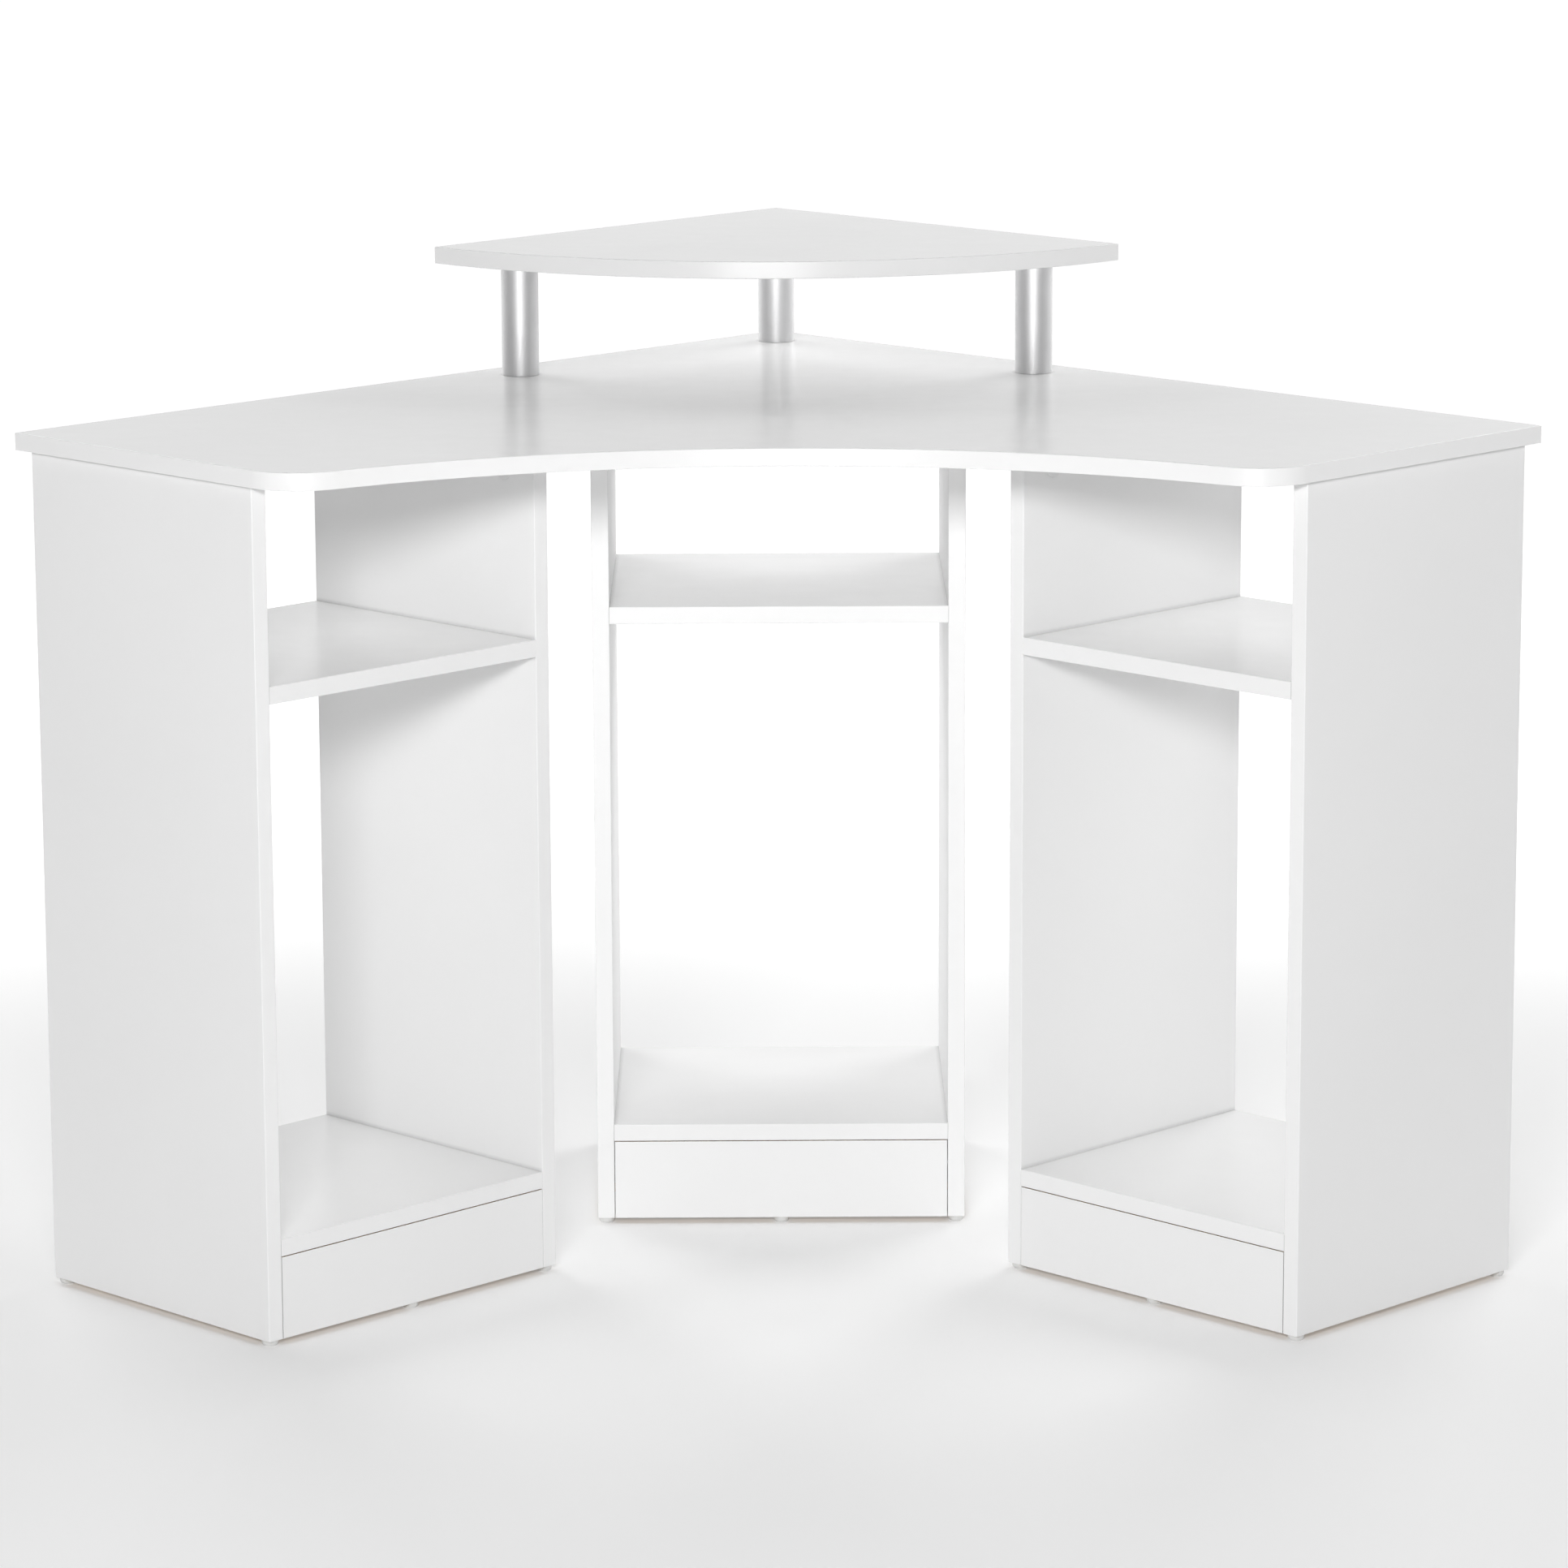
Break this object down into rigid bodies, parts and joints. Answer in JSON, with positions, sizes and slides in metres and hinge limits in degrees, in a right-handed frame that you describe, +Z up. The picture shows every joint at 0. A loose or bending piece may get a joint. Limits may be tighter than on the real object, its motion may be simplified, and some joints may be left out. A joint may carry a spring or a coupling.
{
  "type": "corner desk",
  "caption": "White corner desk with a concave front, a quarter-round riser shelf on metal tube posts and open shelf pedestals.",
  "frame": {"origin": "on the floor, under the middle of the desk's bounding box", "axes": "+Z up, +X to the right of a person who sits at the desk, +Y towards the room corner; the desk is mirror-symmetric about X = 0"},
  "size_m": [1.2728, 0.8667, 0.848],
  "materials": {
    "white_board": "satin",
    "edge_banding": "satin",
    "satin_steel_tube": "satin",
    "zinc_casting": "satin",
    "plated_steel": "satin",
    "white_plastic": "matte",
    "glide_plastic": "matte",
    "beech": "matte",
    "black_plastic": "matte"
  },
  "bodies": {
    "root": {"desktop": "white_board", "riser_shelf": "white_board", "left_outer_panel": "white_board", "left_inner_panel": "white_board", "left_shelf": "white_board", "left_bottom_shelf": "white_board", "left_plinth": "white_board", "centre_left_panel": "white_board", "centre_right_panel": "white_board", "centre_shelf": "white_board", "centre_bottom_shelf": "white_board", "centre_plinth": "white_board", "right_inner_panel": "white_board", "right_outer_panel": "white_board", "right_shelf": "white_board", "right_bottom_shelf": "white_board", "right_plinth": "white_board", "desktop_front_band": "edge_banding", "desktop_wall_bands": "edge_banding", "riser_front_band": "edge_banding", "riser_wall_bands": "edge_banding", "left_panel_bands": "edge_banding", "left_shelf_bands": "edge_banding", "centre_panel_bands": "edge_banding", "centre_shelf_bands": "edge_banding", "right_panel_bands": "edge_banding", "right_shelf_bands": "edge_banding", "left_post": "satin_steel_tube", "rear_post": "satin_steel_tube", "right_post": "satin_steel_tube", "cam_locks": "zinc_casting", "cam_bolts": "plated_steel", "glide_nails": "plated_steel", "post_washers": "plated_steel", "post_bolts": "plated_steel", "riser_studs": "plated_steel", "cam_cover_caps": "white_plastic", "floor_glides": "glide_plastic", "wooden_dowels": "beech", "post_bottom_plugs": "black_plastic", "post_top_plugs": "black_plastic"}
  },
  "joints": []
}
